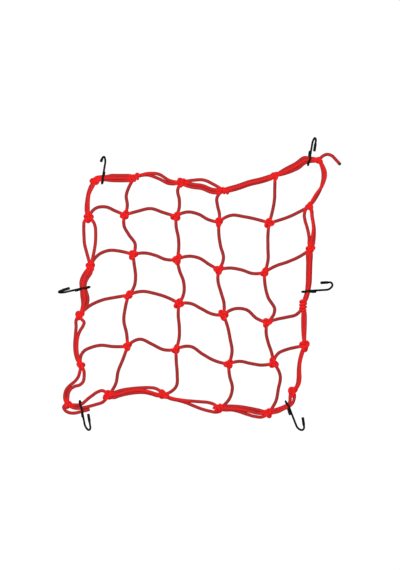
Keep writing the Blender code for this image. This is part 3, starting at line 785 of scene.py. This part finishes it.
knotShape = {
    "cordRadius": 2.65,  # the cord is drawn a little thinner in a knot
    "fullness": 1.05,  # against the knot's size in the table
    "sides": 12,
    "elongated": 1.42,  # a knot over this many times as long as wide is a row of wraps
    "wave": 2.5,  # how far a lobed knot passes over and under itself
    "lobeReach": 0.6,  # how far its lobes' line passes the knot's size, since it's round there
    "turnBetween": 137.5,  # degrees from one knot's lobes to the next one's
    "lobedPoints": 64,
    "wrapSpacing": 2.05,  # from one wrap to the next, in cord radii
    "wrapHeight": 3.0,
    "wrapLean": 0.9,
    "tuck": 0.75,  # how much narrower the first and last wraps get
    "tuckShare": 0.10,  # of the wraps' length over which they do
    "wrapPoints": 26,
}


def turned(knot, along, across, height):
    turn = math.radians(knot.turn)
    x = knot.x + along * math.cos(turn) - across * math.sin(turn)
    y = knot.y + along * math.sin(turn) + across * math.cos(turn)
    return np.column_stack([x, y, height])


def lobedKnot(knot, index):
    # an overhand knot drawn tight: a loop with three lobes that passes over and under itself
    r, wave = knotShape["cordRadius"], knotShape["wave"]
    t = np.linspace(0, 2 * math.pi, knotShape["lobedPoints"], endpoint=False)
    phase = math.radians(index * knotShape["turnBetween"])
    x, y = (np.sin(t) + 2 * np.sin(2 * t)) / 3, (np.cos(t) - 2 * np.cos(2 * t)) / 3
    along = (x * math.cos(phase) - y * math.sin(phase)) * (knot.length / 2 - r + knotShape["lobeReach"])
    across = (x * math.sin(phase) + y * math.cos(phase)) * (knot.width / 2 - r + knotShape["lobeReach"])
    side = 1 if index % 2 else -1
    height = netShape["knotMiddle"] + side * wave * np.sin(3 * t)
    points = turned(knot, along, across, height)
    return tube(points, np.full(len(points), r), levelUps(points), knotShape["sides"], closed=True)


def wrappedKnot(knot, index):
    # wraps side by side round the long axis, their ends tucked in
    r = knotShape["cordRadius"]
    half = knot.length / 2 - r
    turns = 2 * half / (knotShape["wrapSpacing"] * r)
    t = np.linspace(0, 1, int(knotShape["wrapPoints"] * turns))
    angle = 2 * math.pi * turns * t + index
    tuck = 1 - knotShape["tuck"] * ramp(np.minimum(t, 1 - t), 0.0, knotShape["tuckShare"])
    along = half * (2 * t - 1) + knotShape["wrapLean"] * np.sin(angle)
    across = (knot.width / 2 - r) * tuck * np.cos(angle)
    height = netShape["knotMiddle"] + knotShape["wrapHeight"] * tuck * np.sin(angle)
    points = turned(knot, along, across, height)
    middle = turned(knot, along, 0 * along, np.full(len(t), netShape["knotMiddle"]))
    return tube(points, np.full(len(points), r), points - middle, knotShape["sides"])


def buildNet(material):
    courses = {}
    for course in (*spans, *strands):
        lines = spanLines(course) if isinstance(course, Span) else [(strandLine(course), course.lift)]
        courses.setdefault((course.start, course.end), []).extend(lines)
    cords = []
    for ends, lines in courses.items():
        inMesh = any("inner" in knot for knot in ends)
        shadeAndSealLevel = netShape["meshPaintedShade" if inMesh else "borderPaintedShade"]
        piled = any(lift for _, lift in lines)
        for line, lift in lines:
            others = [other for other, _ in lines if other is not line]
            shadeCut = netShape["pileShadeCut"] if lift else 0.0 if piled else netShape["sideShadeCut"]
            cords.append(cordTube(line, shadeAndSealLevel, others, shadeCut))
    cords += [endTube(endLine(looseEnd), netShape["charredEnd"]), endTube(endLine(cutEnd), 0.0)]
    ties = []
    full = knotShape["fullness"]
    for index, knot in enumerate(knots.values()):
        make = wrappedKnot if knot.length > knotShape["elongated"] * knot.width else lobedKnot
        ties.append(make(knot._replace(length=knot.length * full, width=knot.width * full), index))
    netCords = pieceFrom("netCords", [made for made, _ in cords], material, [values for _, values in cords])
    netKnots = pieceFrom("netKnots", ties, material)
    for piece in (netCords, netKnots):
        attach(piece, "root")
        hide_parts("net")
    print("net:", len(cords), "cords,", len(ties), "knots")


# ---- the hooks ----

hookShape = {
    "wireRadius": 1.75,  # a little over the solid's, as the wire in the photograph is
    "sleeveRadius": 2.35,  # of the thicker coat on the tip
    "sleeveLength": 13.0,
    "sleeveEase": (2.0, 1.0),  # before and after that length, over which the coat thins out
    "cutEndRadius": 2.2,  # and of the one on the cut end beside the eye
    "cutEndLength": 5.0,
    "cutEndEase": 2.5,
    "cutEndHeight": 0.45,  # of the height of the shank above it
    "edgeRadius": 0.8,  # of a sleeve's blunt end
    "edgeRings": 5,
    "eyeClear": 0.4,  # of the surface
    "eyeTwist": 1.0,  # sideways, at the eye's inner end
    "eyeTurn": 3.0,  # how far before its inner end the eye begins to turn over
    "eyeRise": 0.9,  # how far the wire has risen there, under the cords
    "eyeDrop": 1.1,  # and how far it is still below its full height, over them
    "eyeAside": (0.9, 0.6, 0.2),  # share of the cut end's place to the side, under, at and over the inner end
    "eyeFlat": 4.0,  # how far before its outer end the wire begins to rise towards the cut end
    "eyeExit": 1.0,  # the last step of that, and its rise
    "shankStart": 3.0,  # how far before the eye's outer end the shank is straight
    "wideRadius": 14.0,  # of the arc that leads from the shank into the bend
    "wideTurn": 50.0,
    "bendRadius": 4.4,
    "solidWireRadius": 1.6,  # the radii that the hook's rest on the surface is worked out with
    "solidSleeveRadius": 2.3,
    "lowestPitch": -30,
    "highestPitch": 50,
    "halvings": 40,
    "lyingBelow": 0.5,  # sideways part of the normal under which a hook's plane counts as lying flat
    "restPoints": (24, 12),  # in the bend and in the tip
    "shownPoints": (26, 14),
    "eyePoints": 60,
    "shankPoints": 10,
    "sides": 16,
}


def hookParts(hook, pitch):
    # the eye's points, the start of the bend, and the three directions of the hook's plane, in its own frame
    shape, eye, over, side = hookShape, hook.eye, hook.over, hook.side
    low = shape["solidWireRadius"] + shape["eyeClear"]
    u = np.array((math.cos(pitch), 0.0, math.sin(pitch)))
    roll = math.radians(hook.roll)
    down = np.array((math.sin(pitch), 0.0, -math.cos(pitch)))
    v = math.cos(roll) * side * np.array((0.0, 1.0, 0.0)) + math.sin(roll) * down
    start = np.array((eye - shape["shankStart"], 0.0, over))
    beside, twist, inner = -side * hook.beside, side * shape["eyeTwist"], shape["eyeTurn"] - eye
    under, at, above = shape["eyeAside"]
    endHeight = (over + (hook.back - start[0]) * math.tan(pitch)) * shape["cutEndHeight"]
    loop = [
        (hook.back, beside, endHeight),
        (eye - shape["eyeExit"], beside, low + shape["eyeExit"]),
        (eye - shape["eyeFlat"], beside, low),
        (0.0, beside, low),
        (inner, twist + beside * under, low + shape["eyeRise"]),
        (-eye, beside * at, (low + over) / 2),
        (inner, beside * above - twist, over - shape["eyeDrop"]),
        (0.0, 0.0, over),
        tuple(start),
    ]
    change = math.radians(shape["wideTurn"])
    extent = shape["wideRadius"] * math.sin(change) + shape["bendRadius"] * (1 - math.sin(change))
    straight = (hook.reach - start[0]) / math.cos(pitch) - extent
    return loop, start + u * straight, u, v, np.cross(u, v)


def bendAndTip(hook, bendStart, u, v, pointCounts):
    # a wide arc leads out of the shank into a tight one, and the tip runs straight back from it
    wide, tight, change = hookShape["wideRadius"], hookShape["bendRadius"], math.radians(hookShape["wideTurn"])
    last = math.pi - math.radians(hook.flare)
    inBend, inTip = pointCounts
    turns = np.linspace(0, last, inBend)[:, None]
    first, second = np.minimum(turns, change), np.maximum(turns, change)
    along = wide * np.sin(first) + tight * (np.sin(second) - math.sin(change))
    aside = wide * (1 - np.cos(first)) + tight * (math.cos(change) - np.cos(second))
    bend = bendStart + along * u + aside * v
    back = math.cos(last) * u + math.sin(last) * v
    tip = bend[-1] + back * np.linspace(0, hook.tip, inTip + 1)[1:, None]
    return np.vstack([bend, tip])


def sleeveOf(hook):
    return min(hook.tip, hookShape["sleeveLength"])


def hookPitch(hook):
    # the shank's pitch at which the hook's end just touches the surface, by halving
    low, high = math.radians(hookShape["lowestPitch"]), math.radians(hookShape["highestPitch"])
    for _ in range(hookShape["halvings"]):
        middle = (low + high) / 2
        _, bendStart, u, v, _ = hookParts(hook, middle)
        line = bendAndTip(hook, bendStart, u, v, hookShape["restPoints"])
        inSleeve = distanceLeft(line) < sleeveOf(hook)
        radii = np.where(inSleeve, hookShape["solidSleeveRadius"], hookShape["solidWireRadius"])
        low, high = (middle, high) if (line[:, 2] - radii).min() < 0 else (low, middle)
    return high


def hookRadii(hook, points):
    # the wire with a thicker coat on its tip and on its cut end
    left, gone, r = distanceLeft(points), distanceAlong(points), hookShape["wireRadius"]
    before, after = hookShape["sleeveEase"]
    sleeve, cutEnd = sleeveOf(hook), hookShape["cutEndLength"]
    tipCoat = easedRamp(left, sleeve - before, sleeve + after)
    cutEndCoat = easedRamp(gone, cutEnd, cutEnd + hookShape["cutEndEase"])
    return r + (hookShape["sleeveRadius"] - r) * tipCoat + (hookShape["cutEndRadius"] - r) * cutEndCoat


def bluntEnds(points, radii, ups):
    # both ends with a rounded edge: rings that shrink along a quarter circle
    edge = hookShape["edgeRadius"]
    cap = np.linspace(0, math.pi / 2, hookShape["edgeRings"] + 1)[1:]
    out, shrink = (np.sin(cap) * edge)[:, None], edge * (1 - np.cos(cap))
    along = directions(points)
    line = np.vstack([points[0] - along[0] * out[::-1], points, points[-1] + along[-1] * out])
    allRadii = np.concatenate([(radii[0] - shrink)[::-1], radii, radii[-1] - shrink])
    firstUps, lastUps = np.tile(ups[0], (len(cap), 1)), np.tile(ups[-1], (len(cap), 1))
    return line, allRadii, np.vstack([firstUps, ups, lastUps])


def buildHook(node, hook, material):
    loop, bendStart, u, v, w = hookParts(hook, hookPitch(hook))
    eyeLine = curveThrough(loop, hookShape["eyePoints"])
    share = np.linspace(0, 1, hookShape["shankPoints"] + 2)[1:-1, None]
    shank = eyeLine[-1] + (bendStart - eyeLine[-1]) * share
    outer = bendAndTip(hook, bendStart, u, v, hookShape["shownPoints"])
    points = np.vstack([eyeLine, shank, outer])

    # the direction that each ring's top faces: sideways in the eye, then turning to the hook's own plane
    sideways = np.array((0.0, 1.0, 0.0))
    if abs(w[1]) < hookShape["lyingBelow"]:
        facing = v * np.sign(v[1])
        outerUps = np.cross(w, directions(outer)) * np.sign(np.cross(w, u) @ facing)
    else:
        facing = w if w[1] >= 0 else -w
        outerUps = np.tile(facing, (len(outer), 1))
    ups = np.vstack([np.tile(sideways, (len(eyeLine), 1)), (1 - share) * sideways + share * facing, outerUps])

    line, radii, ups = bluntEnds(points, hookRadii(hook, points), ups)
    heading = math.radians(hook.heading)
    cosine, sine = math.cos(heading), math.sin(heading)
    turn = np.array(((cosine, -sine, 0), (sine, cosine, 0), (0, 0, 1)))
    placedLine = line @ turn.T + (hook.x, hook.y, 0)
    name = "".join(word.capitalize() if k else word for k, word in enumerate(node.split("_")))
    piece = pieceFrom(name, [tube(placedLine, radii, ups @ turn.T, hookShape["sides"])], material)
    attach(piece, "root")
    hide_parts(node)


# ---- floor, light and camera ----

stageLook = {
    "floorColour": (0.30, 0.30, 0.30),
    "floorRoughness": 0.9,
    "floorShine": 0.1,
    "seenFloor": 1.05,  # brightness of the paper-white backdrop as the camera sees it
    "floorSize": 6.0,
    "overheadPower": 122,
    "overheadSize": 1.0,
    "overheadPlace": (-0.25, 0.35, 2.6),
    "skyStrength": 0.12,
}


def buildStage():
    look = stageLook
    material, tree, shader = newMaterial("paleFloor")
    shader.inputs["Base Color"].default_value = (*look["floorColour"], 1.0)
    shader.inputs["Roughness"].default_value = look["floorRoughness"]
    shader.inputs["Specular IOR Level"].default_value = look["floorShine"]
    rays = tree.nodes.new("ShaderNodeLightPath")
    white = tree.nodes.new("ShaderNodeEmission")
    white.inputs["Strength"].default_value = look["seenFloor"]
    seen = tree.nodes.new("ShaderNodeMixShader")
    tree.links.new(rays.outputs["Is Camera Ray"], seen.inputs["Fac"])
    tree.links.new(shader.outputs["BSDF"], seen.inputs[1])
    tree.links.new(white.outputs["Emission"], seen.inputs[2])
    tree.links.new(seen.outputs["Shader"], tree.nodes["Material Output"].inputs["Surface"])
    half = look["floorSize"] / 2
    mesh = bpy.data.meshes.new("floor")
    corners = [(-half, -half, 0), (half, -half, 0), (half, half, 0), (-half, half, 0)]
    mesh.from_pydata(corners, [], [(0, 1, 2, 3)])
    mesh.materials.append(material)
    floor = addToScene("floor", mesh)

    lamp = bpy.data.lights.new("overhead", "AREA")
    lamp.shape = "DISK"
    lamp.size = look["overheadSize"]
    lamp.energy = look["overheadPower"]
    overhead = addToScene("overhead", lamp)
    overhead.location = look["overheadPlace"]
    overhead.rotation_euler = (-overhead.location).to_track_quat("-Z", "Y").to_euler()

    world = bpy.data.worlds.new("studioAir")
    world.use_nodes = True
    sky = world.node_tree.nodes["Background"]
    sky.inputs["Color"].default_value = (1, 1, 1, 1)
    sky.inputs["Strength"].default_value = look["skyStrength"]
    bpy.context.scene.world = world
    bpy.context.scene.view_settings.view_transform = "Standard"
    print("stage: floor, one overhead lamp, even sky")


cameraPlace = {
    "height": 3.0,
    "frameHeight": 0.95,  # of the surface that the image shows from top to bottom
}


def buildCamera():
    data = bpy.data.cameras.new("photoView")
    data.sensor_fit = "VERTICAL"
    data.angle = 2 * math.atan(cameraPlace["frameHeight"] / 2 / cameraPlace["height"])
    camera = addToScene("photoView", data)
    camera.location = (0, 0, cameraPlace["height"])
    bpy.context.scene.camera = camera
    print("camera: straight above, square to the floor")


buildCamera()
buildStage()
braid, uneven = braidGroup(), unevenGroup()
buildNet(braidedCordMaterial(braid, uneven))
blackCoat = coatedWireMaterial(uneven)
for node, hook in hooks.items():
    buildHook(node, hook, blackCoat)
print("hooks:", len(hooks))
